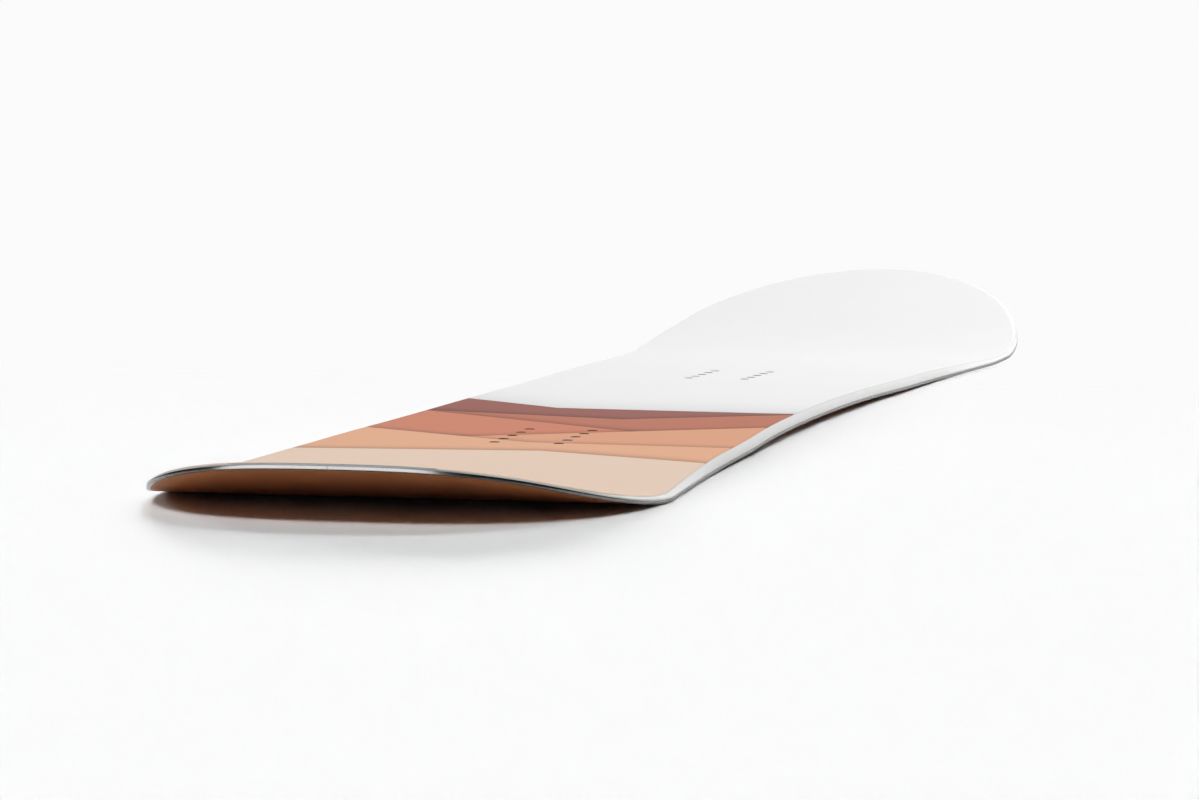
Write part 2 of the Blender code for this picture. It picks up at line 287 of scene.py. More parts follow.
def cut_blank(name, inset, foot):
    """A sheet in the board's plan, cut back by an inset, at a height in the flat sandwich."""
    sheet = start_piece(name, bpy.ops.mesh.primitive_circle_add, vertices=len(PLAN), radius=NOSE_END,
                        fill_type="NGON")
    for point, (x, y) in zip(sheet.data.vertices, PLAN):
        point.co = (x, y, foot)
    open_piece(sheet)
    if inset:
        step_in(sheet, 1, [(inset, 0.0)])
        bpy.ops.mesh.select_all(action="INVERT")
        bpy.ops.mesh.delete(type="FACE")
    close_piece()
    return sheet


def make_slab(name, inset, foot, height):
    """A closed slab with upright sides."""
    slab = cut_blank(name, inset, foot)
    open_piece(slab)
    pick(slab, "FACE", lambda face: is_great(face, 1))
    extrude((0, 0, height))
    face_outwards()
    close_piece()
    return slab


print("one blank has", len(PLAN), "sides")

# %% [markdown]
# A single face as large as the board can't bend. So before pressing, each great face is taken out and the
# left and right sides of its hole are bridged by rows that run straight across. Rows of one height are all
# that a bend needs which only goes up and down along the board. A narrow flat ring is left round them, so
# that the rounding of the rim doesn't spoil the shading of the wide rows.

# %% Rule the great faces across, and press
SHADING_ANGLE = math.radians(32)
FLAT_RING = 0.5 * MM
EDGE_SLACK = 0.01 * MM


def open_edge(edge):
    return edge.is_boundary


def rule_across(piece):
    """Swaps both great faces for a ring and rows across the board."""
    for facing in (1, -1):
        open_piece(piece)
        step_in(piece, facing, [(FLAT_RING, 0.0)])
        bpy.ops.mesh.delete(type="ONLY_FACE")
        mesh = bmesh.from_edit_mesh(piece.data)
        ends = [point.co.x for edge in mesh.edges if edge.is_boundary for point in edge.verts]
        tail = min(ends) + EDGE_SLACK
        nose = max(ends) - EDGE_SLACK
        pick(piece, "EDGE", lambda edge: edge.is_boundary and all(tail < p.co.x < nose for p in edge.verts))
        bpy.ops.mesh.bridge_edge_loops()
        pick(piece, "EDGE", open_edge)
        bpy.ops.mesh.fill_holes(sides=0)
        face_outwards()
        close_piece()


def press(piece, drops=0.0):
    """Bends the flat piece into the mould, and shades it smooth. drops may lower each point on its own."""
    points = np.empty(len(piece.data.vertices) * 3)
    piece.data.vertices.foreach_get("co", points)
    points = points.reshape(-1, 3)
    points[:, 0], points[:, 2] = pressed(points[:, 0], points[:, 2], drops)
    piece.data.vertices.foreach_set("co", points.ravel())
    piece.data.update()
    take(piece)
    bpy.ops.object.shade_smooth_by_angle(angle=SHADING_ANGLE)


print("narrow ring, mm:", FLAT_RING * 1000)

# %% [markdown]
# Steel, plastic and film carry marks that run along the board's rim, round both tips. Such a pattern can't
# be drawn along X alone. So before pressing, each point of these pieces notes its place on the rim: how far
# along the outline it lies, how far inside it, and how high in the sandwich.

# %% Note places along the rim
RIM_PLACE = "rim_place"


def plan_lengths():
    steps = np.linalg.norm(np.diff(np.array(PLAN + PLAN[:1]), axis=0), axis=1)
    return np.concatenate([[0.0], np.cumsum(steps)])


PLAN_LENGTHS = plan_lengths()
PLAN_TREE = kdtree.KDTree(len(PLAN))
for index, (x, y) in enumerate(PLAN):
    PLAN_TREE.insert((x, y, 0.0), index)
PLAN_TREE.balance()


def nearest_on_plan(x, y):
    """The point of the outline that is nearest, and the distance along the outline to it."""
    spot = Vector((x, y))
    index = PLAN_TREE.find((x, y, 0.0))[1]
    found = []
    for first in (index - 1, index):
        start = Vector(PLAN[first])
        run = Vector(PLAN[(first + 1) % len(PLAN)]) - start
        share = min(max((spot - start).dot(run) / run.length_squared, 0.0), 1.0)
        found.append((start + run * share, PLAN_LENGTHS[first % len(PLAN)] + run.length * share))
    return min(found, key=lambda place: (place[0] - spot).length)


def place_on_rim(x, y):
    """The distance along the outline to a point, and how far inside it the point lies."""
    foot, along = nearest_on_plan(x, y)
    return along, (foot - Vector((x, y))).length


def note_rim_place(piece):
    """Stores distance along the outline, distance inside it, and height, on every point."""
    notes = piece.data.attributes.new(RIM_PLACE, "FLOAT_VECTOR", "POINT")
    for number, point in enumerate(piece.data.vertices):
        along, inside = place_on_rim(point.co.x, point.co.y)
        notes.data[number].vector = (along, inside, point.co.z)


print("length round the rim, m:", round(float(PLAN_LENGTHS[-1]), 3))

# %% [markdown]
# Surfaces differ mostly in their fine grain. One node group gives it to all of them: it stretches the
# coordinates it is given and reads a noise there, so that the same group makes the grinding marks of steel,
# the milling marks of plastic and the fibres of wood. A second group mixes two noises into soft cloudy
# patches, for the slight unevenness in gloss that a handled surface has.

# %% Node helpers
FLOAT = "NodeSocketFloat"
VECTOR = "NodeSocketVector"
COLOR = "NodeSocketColor"


def new_material(name):
    material = bpy.data.materials.new(name)
    material.use_nodes = True
    shader = material.node_tree.nodes["Principled BSDF"]
    return material, material.node_tree, shader


def add_node(tree, kind, **settings):
    """A shader node of some kind, such as Math, with its own settings."""
    node = tree.nodes.new("ShaderNode" + kind)
    for key, value in settings.items():
        setattr(node, key, value)
    return node


def feed(node, values):
    """Fills a node's inputs, by label or place, with numbers, colours or other nodes' sockets."""
    for key, value in values.items():
        if isinstance(value, bpy.types.NodeSocket):
            node.id_data.links.new(value, node.inputs[key])
        elif isinstance(value, tuple):
            node.inputs[key].default_value = (*value, 1.0)
        elif value is not None:
            node.inputs[key].default_value = value


def math_node(tree, operation, first, second=None, clamp=False):
    """One Math node. An input may be a number or another node's socket."""
    node = add_node(tree, "Math", operation=operation, use_clamp=clamp)
    feed(node, {0: first, 1: second})
    return node.outputs[0]


def scale_range(tree, value, low, high, out_low=0.0, out_high=1.0):
    node = add_node(tree, "MapRange", clamp=True)
    feed(node, {"Value": value, "From Min": low, "From Max": high})
    feed(node, {"To Min": out_low, "To Max": out_high})
    return node.outputs["Result"]


def mix_colours(tree, factor, first, second):
    """A colour between two, by a socket from 0 to 1."""
    mix = add_node(tree, "Mix", data_type="RGBA")
    feed(mix, {0: factor, 6: first, 7: second})
    return mix.outputs[2]


def scale_colour(tree, colour, factor):
    """A colour made darker, by a socket from 0 to 1."""
    node = add_node(tree, "VectorMath", operation="SCALE")
    feed(node, {0: colour, "Scale": factor})
    return node.outputs[0]


def make_bump(tree, height, depth):
    """A bumped normal from a height. depth is the relief in metres."""
    bump = add_node(tree, "Bump")
    feed(bump, {"Height": height, "Distance": depth})
    return bump.outputs[0]


def split_place(tree, vector):
    """The three parts of a place, by the letters X, Y and Z."""
    split = add_node(tree, "SeparateXYZ")
    tree.links.new(vector, split.inputs[0])
    return split.outputs


def new_group(name, result, result_kind, colours=(), **numbers):
    """A node group that reads a vector, colours and numbers, and its two open ends inside."""
    tree = bpy.data.node_groups.new(name, "ShaderNodeTree")
    kinds = {"Vector": VECTOR} | dict.fromkeys(colours, COLOR) | dict.fromkeys(numbers, FLOAT)
    for label, kind in kinds.items():
        socket = tree.interface.new_socket(label.replace("_", " "), in_out="INPUT", socket_type=kind)
        if kind == FLOAT:
            socket.default_value = numbers[label]
    tree.interface.new_socket(result, in_out="OUTPUT", socket_type=result_kind)
    return tree, tree.nodes.new("NodeGroupInput").outputs, tree.nodes.new("NodeGroupOutput").inputs


def use_group(tree, group, vector, **values):
    """Places a group in a material, reads it at a vector, sets its other inputs and gives its output."""
    node = add_node(tree, "Group", node_tree=group)
    tree.links.new(vector, node.inputs["Vector"])
    feed(node, {key.replace("_", " "): value for key, value in values.items()})
    return node.outputs[0]


def object_place(tree):
    return add_node(tree, "TexCoord").outputs["Object"]


def rim_place(tree):
    return add_node(tree, "Attribute", attribute_name=RIM_PLACE).outputs["Vector"]


print("node helpers ready")

# %% Grain group
GRAIN_ROUGHNESS = 0.55


def make_grain_group():
    """Noise stretched along one axis. Along, Across and Up count its patches in a metre."""
    tree, given, result = new_group(
        "stretched_grain", "Value", FLOAT, Along=20.0, Across=900.0, Up=900.0, Detail=3.0
    )
    counts = add_node(tree, "CombineXYZ")
    feed(counts, {0: given["Along"], 1: given["Across"], 2: given["Up"]})
    stretched = add_node(tree, "VectorMath", operation="MULTIPLY")
    feed(stretched, {0: given["Vector"], 1: counts.outputs[0]})
    noise = add_node(tree, "TexNoise")
    feed(noise, {"Vector": stretched.outputs[0], "Scale": 1.0, "Detail": given["Detail"]})
    feed(noise, {"Roughness": GRAIN_ROUGHNESS})
    tree.links.new(noise.outputs["Fac"], result["Value"])
    return tree


GRAIN = make_grain_group()
print("group made:", GRAIN.name)

# %% Handling group
PATCH_DETAIL = 4.0
SPECK_DETAIL = 1.0
NOISE_SPAN = (0.3, 0.7)


def make_handling_group():
    """Soft patches and fine specks, from 0 to 1, for the small unevenness of a handled surface."""
    tree, given, result = new_group(
        "handling_marks", "Value", FLOAT, Patches=14.0, Specks=900.0, Speck_Share=0.35
    )
    blend = add_node(tree, "Mix", data_type="FLOAT")
    tree.links.new(given["Speck Share"], blend.inputs[0])
    for place, label, detail in ((2, "Patches", PATCH_DETAIL), (3, "Specks", SPECK_DETAIL)):
        noise = add_node(tree, "TexNoise")
        feed(noise, {"Vector": given["Vector"], "Scale": given[label], "Detail": detail})
        tree.links.new(noise.outputs["Fac"], blend.inputs[place])
    tree.links.new(scale_range(tree, blend.outputs[0], *NOISE_SPAN), result["Value"])
    return tree


HANDLING = make_handling_group()
print("group made:", HANDLING.name)

# %% [markdown]
# Most finishes here share one build: a colour that drifts slightly with the handling marks, a roughness that
# does the same, and a fine bump from the grain. A helper wires that up, and each material passes its own
# colours, counts and heights.

# %% Shared finish
WEAR_SPAN = (0.2, 0.8)


def finish(name, colours, roughness, grain, relief, place=object_place, metallic=0.0, patches=14.0):
    """A material from two close colours, two roughnesses, the counts of its grain, and the relief's depth."""
    material, tree, shader = new_material(name)
    where = place(tree)
    marks = use_group(tree, HANDLING, where, Patches=patches)
    lines = use_group(tree, GRAIN, where, Along=grain[0], Across=grain[1], Up=grain[2])
    both = math_node(tree, "MULTIPLY", math_node(tree, "ADD", marks, lines), 0.5)
    feed(shader, {
        "Base Color": mix_colours(tree, marks, *colours),
        "Roughness": scale_range(tree, both, *WEAR_SPAN, *roughness),
        "Metallic": metallic,
        "Normal": make_bump(tree, lines, relief),
    })
    return material


print("finish helper ready")

# %% [markdown]
# The steel edge is a strip of hardened steel, ground square, with a thin flange that reaches in between the
# layers and holds it. It could be swept along a curve. It is made as a ring instead: a blank is inset twice,
# which marks the body and the flange, the middle is taken out, and the ring is raised. Then the body is
# drawn down to the ground, the outer corners are eased, and the ring is sawn into a left and a right edge.

# %% Steel edges
EDGE_WIDTH = 2.0 * MM
EDGE_HEIGHT = 1.9 * MM
FLANGE_REACH = 7.0 * MM
FLANGE_THICKNESS = 0.5 * MM
EDGE_EASING = 0.12 * MM
JOINT_HALF = 0.15 * MM


def is_body_foot(face):
    centre = face.calc_center_median()
    return face.normal.z < -LEVEL and place_on_rim(centre.x, centre.y)[1] < EDGE_WIDTH


def is_outer_corner(edge):
    """Whether an edge runs along the rim's outside, at the foot or the top of the steel."""
    low, high = sorted(point.co.z for point in edge.verts)
    if high > EDGE_SLACK and low < EDGE_HEIGHT - EDGE_SLACK:
        return False
    return all(place_on_rim(point.co.x, point.co.y)[1] < EDGE_SLACK for point in edge.verts)


def make_edge_ring():
    flange_foot = EDGE_HEIGHT - FLANGE_THICKNESS
    ring = cut_blank("steel_edge_ring", 0.0, flange_foot)
    open_piece(ring)
    step_in(ring, 1, [(EDGE_WIDTH, 0.0), (FLANGE_REACH - EDGE_WIDTH, 0.0)])
    bpy.ops.mesh.delete(type="FACE")
    select_all()
    extrude((0, 0, FLANGE_THICKNESS))
    face_outwards()
    pick(ring, "FACE", is_body_foot)
    extrude((0, 0, -flange_foot))
    face_outwards()
    pick(ring, "EDGE", is_outer_corner)
    bpy.ops.mesh.bevel(offset=EDGE_EASING, segments=2, affect="EDGES")
    close_piece()
    return ring


edge_ring = make_edge_ring()
report(edge_ring)

# %% Saw the ring into two edges


def finish_piece(piece, material, slot, *nodes):
    """What every piece gets last: its material, its body and the CAD nodes it stands for. The slot is not
    used.
    """
    piece.data.materials.clear()
    piece.data.materials.append(material)
    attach(piece, "root")
    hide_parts(*nodes)
    report(piece)


EDGE_STEEL = finish(
    "ground_edge_steel",
    colours=((0.14, 0.14, 0.143), (0.19, 0.19, 0.19)),
    roughness=(0.16, 0.28),
    grain=(60.0, 9000.0, 9000.0),
    relief=0.004 * MM,
    place=rim_place,
    metallic=1.0,
)
for hand, side in HANDS:
    edge = copy_of(edge_ring, f"edge_{hand}")
    saw(edge, (0, side * JOINT_HALF, 0), (0, -side, 0))
    note_rim_place(edge)
    press(edge)
    finish_piece(edge, EDGE_STEEL, "steel_edge", f"steel_edge_{hand}")
bpy.data.objects.remove(edge_ring)

# %% [markdown]
# The base is a sheet of dense polyethylene between the steel edges, flush with them. It is stone ground, so
# fine grooves run along it, and waxed, so it has a dull sheen. Its colour is an orange brown.

# %% Base sheet
BASE_INSET = 2.03 * MM
BASE_TOP = 1.3 * MM

BASE_FINISH = finish(
    "ground_base",
    colours=((0.62, 0.22, 0.075), (0.70, 0.27, 0.10)),
    roughness=(0.34, 0.50),
    grain=(3.0, 1400.0, 1400.0),
    relief=0.02 * MM,
)
base = make_slab("base_sole", BASE_INSET, 0.0, BASE_TOP)
rule_across(base)
press(base)
finish_piece(base, BASE_FINISH, "base_sheet", "base_sheet")

# %% [markdown]
# Two sheets of glass cloth in resin hold the core between them. The lower one rests on the steel flanges and
# steps down to the base between them. The upper one shows only as a hair line round the rim, under the
# topsheet, where the milled slope cuts it. So it gets that slope: its rim is inset while it rises.

# %% Glass laminates
LOWER_GLASS_TOP = 2.55 * MM
LOWER_GLASS_INSET = 0.08 * MM
STEP_INSET = 7.2 * MM
GLASS_FOOT = 7.0 * MM
GLASS_TOP = 7.5 * MM
GLASS_INSET = 2.45 * MM
GLASS_SLOPE = 0.35 * MM
HAIR = 0.02 * MM

GLASS_FINISH = finish(
    "resin_and_glass_cloth",
    colours=((0.66, 0.67, 0.62), (0.74, 0.75, 0.70)),
    roughness=(0.35, 0.55),
    grain=(500.0, 500.0, 4000.0),
    relief=0.02 * MM,
)
# Across the end of the tail the glass rim is coloured dark grey.
TAIL_END_GREY = (0.24, 0.24, 0.24)
TAIL_GREY_SPAN = (-0.730, -0.744)


def darken_at_tail(material):
    """Lets the glass rim turn dark grey at the tail's end, where no sidewall covers it."""
    tree = material.node_tree
    shader = tree.nodes["Principled BSDF"]
    cloth = shader.inputs["Base Color"].links[0].from_socket
    tail = scale_range(tree, split_place(tree, object_place(tree))["X"], *TAIL_GREY_SPAN)
    feed(shader, {"Base Color": mix_colours(tree, tail, cloth, TAIL_END_GREY)})


darken_at_tail(GLASS_FINISH)
lower_glass = make_slab("lower_glass", LOWER_GLASS_INSET, EDGE_HEIGHT, LOWER_GLASS_TOP - EDGE_HEIGHT)
mill(lower_glass, -1, [(STEP_INSET - LOWER_GLASS_INSET, 0.0), (HAIR, EDGE_HEIGHT - BASE_TOP)])
upper_glass = make_slab("upper_glass", GLASS_INSET, GLASS_FOOT, HAIR)
mill(upper_glass, 1, [(GLASS_SLOPE, GLASS_TOP - GLASS_FOOT - HAIR)])
for glass in (lower_glass, upper_glass):
    rule_across(glass)
    report(glass)

# %% [markdown]
# Between the two glass sheets, the core is walled in by white plastic: a sidewall on each side, and a spacer
# in each tip. On the real board a cutter slants all four in one go, after pressing. So one block is made for
# them: a low upright foot, and one slant above. Its ends are sawn off as the tip spacers. The rest is
# hollowed into a ring and sawn into the two sidewalls.

# %% The milled block
WALL_INSET = 0.1 * MM
WALL_FOOT = 2.55 * MM
WALL_SHOULDER = 2.9 * MM
WALL_TOP = 7.0 * MM
WALL_SLANT = 2.3 * MM
WALL_WIDTH = 10.0 * MM
CORE_TAIL_END = -0.600
CORE_NOSE_END = 0.560

block = make_slab("milled_block", WALL_INSET, WALL_FOOT, WALL_SHOULDER - WALL_FOOT)
mill(block, 1, [(WALL_SLANT, WALL_TOP - WALL_SHOULDER)])
report(block)

# %% Saw the spacers and the sidewalls
MILLING = {"grain": (25.0, 2500.0, 2500.0), "relief": 0.01 * MM, "place": rim_place}
WALL_FINISH = finish(
    "milled_sidewall", colours=((0.76, 0.76, 0.755), (0.83, 0.83, 0.825)), roughness=(0.32, 0.48), **MILLING
)
SPACER_FINISH = finish(
    "milled_spacer", colours=((0.68, 0.68, 0.675), (0.75, 0.75, 0.745)), roughness=(0.34, 0.50), **MILLING
)


def hollow(piece):
    """Takes the middle out of the block, and closes the ring's inner wall."""
    open_piece(piece)
    step_in(piece, -1, [(WALL_WIDTH - WALL_INSET, 0.0)])
    bpy.ops.mesh.delete(type="ONLY_FACE")
    step_in(piece, 1, [(WALL_WIDTH - WALL_INSET - WALL_SLANT, 0.0)])
    bpy.ops.mesh.delete(type="ONLY_FACE")
    pick(piece, "EDGE", open_edge)
    bpy.ops.mesh.bridge_edge_loops()
    face_outwards()
    close_piece()


def make_spacer(tip, end, side):
    spacer = copy_of(block, f"{tip}_spacer")
    rule_across(spacer)
    saw(spacer, (end, 0, 0), (-side, 0, 0))
    note_rim_place(spacer)
    press(spacer)
    finish_piece(spacer, SPACER_FINISH, "tip_spacer", f"{tip}_tip_spacer")


def make_sidewall(hand, side):
    wall = copy_of(block, f"wall_{hand}")
    hollow(wall)
    saw(wall, (0, 0, 0), (0, -side, 0))
    saw(wall, (CORE_TAIL_END, 0, 0), (-1, 0, 0))
    saw(wall, (CORE_NOSE_END, 0, 0), (1, 0, 0))
    note_rim_place(wall)
    press(wall)
    finish_piece(wall, WALL_FINISH, "sidewall", f"sidewall_{hand}")


make_spacer("tail", CORE_TAIL_END, -1)
make_spacer("nose", CORE_NOSE_END, 1)
for hand, side in HANDS:
    make_sidewall(hand, side)
bpy.data.objects.remove(block)

# %% [markdown]
# The topsheet is a clear film, printed from behind. Its rim carries on the milled slope and is rounded over
# at the top, in three small steps inwards and up. Round the tips no sidewall is milled free: there the film
# is drawn down over the slant, almost to the steel. So its rim points are moved outwards at the tips, by a
# share that fades in from the corners, and they note how far the press has to take them down.

# %% Topsheet film
FILM_INSET = 2.8 * MM
FILM_SLOPE = (0.2 * MM, 0.25 * MM)
FILM_ROUNDING = [(0.05 * MM, 0.11 * MM), (0.08 * MM, 0.08 * MM), (0.11 * MM, 0.04 * MM)]
FILM_SHOULDER = (0.5 * MM, 0.0)
DRAWN_RIM = 3.27 * MM
DRAWN_OUT = 2.65 * MM
DRAWN_DOWN = 1.08 * MM
TAIL_DRAWN = (-0.635, -0.735)
NOSE_DRAWN = (0.520, 0.640)


def fade_in(x, start, end):
    """0 up to one place and 1 from another, with a soft change between."""
    share = min(max((x - start) / (end - start), 0.0), 1.0)
    return share * share * (3 - 2 * share)


def draw_over_tips(sheet):
    """Moves the rim outwards over the slant at the tips. Returns how far down each point then belongs."""
    drops = np.zeros(len(sheet.data.vertices))
    for number, point in enumerate(sheet.data.vertices):
        spot = point.co.xy
        inwards = spot - nearest_on_plan(*spot)[0]
        share = max(fade_in(spot.x, *TAIL_DRAWN), fade_in(spot.x, *NOSE_DRAWN))
        if share > 0 and inwards.length < DRAWN_RIM:
            point.co.xy = spot - inwards.normalized() * DRAWN_OUT * share
            drops[number] = DRAWN_DOWN * share
    return drops


film = make_slab("topsheet_film", FILM_INSET, GLASS_TOP, HAIR)
mill(film, 1, [FILM_SLOPE, *FILM_ROUNDING, FILM_SHOULDER])
rule_across(film)
film_top = max(point.co.z for point in film.data.vertices)
print("film:", len(film.data.polygons), "faces, top at mm", round(film_top * 1000, 2))

# %% [markdown]
# Twenty holes go through the film and the upper glass, where the binding screws enter. They are drilled while
# the sheets are still flat. A drill is a cylinder, copied to every place, and a Boolean modifier takes the
# drills away from the sheet, which is what a drill does.

# %% Drill the insert holes
PITCH = 20.0 * MM
ROW = 20.0 * MM
IN_ROW = 5
FILM_HOLE = 3.3 * MM
GLASS_HOLE = 4.6 * MM
HOLE_SIDES = 40


def insert_spots():
    spots = {}
    for foot, middle in zip(("rear", "front"), FEET):
        for hand, side in HANDS:
            for number in range(IN_ROW):
                x = middle + (number - (IN_ROW - 1) / 2) * PITCH
                spots[f"insert_{foot}_{hand}_{number + 1}"] = (x, side * ROW)
    return spots


SPOTS = insert_spots()


def make_drill(radius):
    """One object of twenty rods, at all the insert places."""
    rods = []
    for x, y in SPOTS.values():
        rods.append(start_piece("rod", bpy.ops.mesh.primitive_cylinder_add, vertices=HOLE_SIDES,
                                radius=radius, depth=THICK, location=(x, y, THICK)))
    for rod in rods:
        rod.select_set(True)
    bpy.ops.object.join()
    return bpy.context.active_object


def drill(sheet, radius):
    rods = make_drill(radius)
    take(sheet)
    cut = sheet.modifiers.new("holes", "BOOLEAN")
    cut.operation = "DIFFERENCE"
    cut.solver = "EXACT"
    cut.object = rods
    bpy.ops.object.modifier_apply(modifier=cut.name)
    bpy.data.objects.remove(rods)


drill(film, FILM_HOLE)
drill(upper_glass, GLASS_HOLE)
print("holes drilled:", len(SPOTS))

# %% Press the drilled sheets
for glass, node in ((lower_glass, "lower_glass_laminate"), (upper_glass, "upper_glass_laminate")):
    press(glass)
    finish_piece(glass, GLASS_FINISH, "glass_laminate", node)
note_rim_place(film)
press(film, draw_over_tips(film))
print("pressed:", film.name, lower_glass.name, upper_glass.name)

# %% [markdown]
# The print covers the rear two fifths: sheets of colour laid over each other like cut paper, from cream at
# the tail to maroon, and plain white beyond. Each edge is a straight cut with one corner in it, like a ridge,
# and each sheet throws a soft shadow on the next. A group makes one cut: it measures how far a point lies
# past the edge, and makes a crisp mask and a soft shade from that. Cut after cut builds up the print.

# %% Cut edge group
CUT_SOFTNESS = 0.1 * MM
SHADOW_FALL = 2.5


def make_cut_group():
    """Lays one coloured sheet, with a ridge for an edge and its shadow, over the colours below it."""
    tree, given, result = new_group(
        "paper_cut", "Colour", COLOR, colours=("Below", "Sheet"),
        Edge=0.0, Lean=0.0, Corner=0.0, Fold=0.0, Shadow=0.3, Reach=0.02,
    )
    place = split_place(tree, given["Vector"])
    leaning = math_node(tree, "MULTIPLY", place["Y"], given["Lean"])
    aside = math_node(tree, "ABSOLUTE", math_node(tree, "SUBTRACT", place["Y"], given["Corner"]))
    folded = math_node(tree, "ADD", leaning, math_node(tree, "MULTIPLY", aside, given["Fold"]))
    line = math_node(tree, "ADD", folded, given["Edge"])
    past = math_node(tree, "SUBTRACT", place["X"], line)
    covered = scale_range(tree, past, -CUT_SOFTNESS, CUT_SOFTNESS, 1.0, 0.0)
    far = math_node(tree, "DIVIDE", past, given["Reach"])
    fade = math_node(tree, "POWER", math_node(tree, "SUBTRACT", 1.0, far, clamp=True), SHADOW_FALL)
    shade = math_node(tree, "SUBTRACT", 1.0, math_node(tree, "MULTIPLY", fade, given["Shadow"]))
    shaded = scale_colour(tree, given["Below"], shade)
    tree.links.new(mix_colours(tree, covered, shaded, given["Sheet"]), result["Colour"])
    return tree


PAPER_CUT = make_cut_group()
print("group made:", PAPER_CUT.name)

# %% Printed topsheet
FILM_WHITE = (0.88, 0.88, 0.885)
CREAM = (0.80, 0.62, 0.50)
PEACH = (0.76, 0.42, 0.27)
APRICOT = (0.70, 0.35, 0.22)
CORAL = (0.58, 0.22, 0.14)
TERRACOTTA = (0.46, 0.17, 0.11)
MAROON = (0.27, 0.10, 0.08)
INK = (0.96, 1.0)
FILM_ROUGHNESS = (0.66, 0.76)
FILM_GLOSS = 0.3
TEXTURE = 1100.0
FILM_RELIEF = 0.006 * MM
# Each sheet: its colour, where its edge crosses the middle line, its lean, the place and depth of its corner,
# and its shadow's reach and depth.
SHEETS = [
    (MAROON, -0.150, 0.40, 0.040, 0.35, 0.110, 0.16),
    (TERRACOTTA, -0.205, -0.15, -0.020, 0.40, 0.034, 0.45),
    (CORAL, -0.262, 0.35, -0.050, 0.30, 0.030, 0.45),
    (APRICOT, -0.318, -0.20, 0.050, 0.35, 0.028, 0.40),
    (PEACH, -0.352, 0.30, 0.000, 0.25, 0.026, 0.38),
    (CREAM, -0.395, 0.15, -0.020, -0.25, 0.030, 0.40),
]


def make_film_finish():
    material, tree, shader = new_material("printed_film")
    where = object_place(tree)
    colour = FILM_WHITE
    for sheet, edge, lean, corner, fold, reach, shadow in SHEETS:
        colour = use_group(tree, PAPER_CUT, where, Below=colour, Sheet=sheet, Edge=edge, Lean=lean,
                           Corner=corner, Fold=fold, Reach=reach, Shadow=shadow)
    paper = use_group(tree, HANDLING, where, Patches=9.0, Specks=1600.0, Speck_Share=0.6)
    texture = use_group(tree, GRAIN, where, Along=TEXTURE, Across=TEXTURE, Up=TEXTURE, Detail=2.0)
    feed(shader, {
        "Base Color": scale_colour(tree, colour, scale_range(tree, paper, 0.0, 1.0, *INK)),
        "Roughness": scale_range(tree, paper, 0.0, 1.0, *FILM_ROUGHNESS),
        "Specular IOR Level": FILM_GLOSS,
        "Normal": make_bump(tree, texture, FILM_RELIEF),
    })
    return material


FILM_FINISH = make_film_finish()
finish_piece(film, FILM_FINISH, "topsheet", "topsheet")
print("print:", len(SHEETS), "sheets of colour")

# %% [markdown]
# The drilled edge of the film is rough, and hardly any light falls into so narrow a hole. Its walls are the
# faces near an insert place that stand upright. They get a very dark brown of their own: painted shade.
# Across the end of the tail the film's rounded rim is coloured dark grey, and shows as a thin grey line over
# the steel.

# %% Painted shade in the holes, and the grey tail rim
HOLE_MARGIN = 1.05
# A very dark brown: painted shade for the walls of the narrow holes.
HOLE_SHADE = finish(
    "painted_hole_shade",
    colours=((0.045, 0.016, 0.012), (0.080, 0.035, 0.028)),
    roughness=(0.6, 0.8),
    grain=(1500.0, 1500.0, 6000.0),
    relief=0.02 * MM,
)


def paint_faces(sheet, material, wanted):
    """Gives the faces that wanted(face) accepts a further material, and counts them."""
    sheet.data.materials.append(material)
    faces = [face for face in sheet.data.polygons if wanted(face)]
    for face in faces:
        face.material_index = len(sheet.data.materials) - 1
    return len(faces)


def paint_hole_shade(sheet, radius):
    """Gives the upright faces near an insert place the painted shade."""

    def drilled(face):
        near = min(math.hypot(face.center.x - x, face.center.y - y) for x, y in SPOTS.values())
        return near < radius * HOLE_MARGIN and abs(face.normal.z) < UPRIGHT

    return paint_faces(sheet, HOLE_SHADE, drilled)


# A dark grey for the film's rounded rim across the end of the tail.
TAIL_RIM_GREY = finish(
    "grey_tail_rim",
    colours=((0.24, 0.24, 0.24), (0.32, 0.32, 0.315)),
    roughness=(0.45, 0.65),
    grain=(60.0, 4000.0, 4000.0),
    relief=0.01 * MM,
    place=rim_place,
)
GREY_RIM_FROM = -0.742


def grey_the_tail_rim(sheet):
    """Gives the film's rounded rim a dark grey across the end of the tail."""
    notes = sheet.data.attributes[RIM_PLACE].data

    def greyed(face):
        milled = all(notes[number].vector.y < DRAWN_RIM for number in face.vertices)
        return milled and face.center.x < GREY_RIM_FROM

    return paint_faces(sheet, TAIL_RIM_GREY, greyed)


print("dark faces:", paint_hole_shade(film, FILM_HOLE), paint_hole_shade(upper_glass, GLASS_HOLE))
print("bare rim faces:", grey_the_tail_rim(film))

# %% [markdown]
# An insert is a turned steel nut with a wide flange that keeps it from pulling out, and a blind M6 thread.
# It could be cut from a cylinder with Booleans. Turning it is closer to how it is made: a single point is
# extruded along the profile, with a zigzag for the thread, and the profile is spun round once.

# %% One threaded insert
BARREL = 4.5 * MM
FLANGE = 7.5 * MM
INSERT_FOOT = 2.6 * MM
BORE_END = 3.6 * MM
INSERT_TOP = 7.45 * MM
THREAD_ROOT = 3.1 * MM
THREAD_CREST = 2.75 * MM
THREAD_PITCH = 0.6 * MM
EASING = 0.1 * MM
BARREL_EASING = 0.15 * MM
WELD = 0.001 * MM
TURN_STEPS = 28


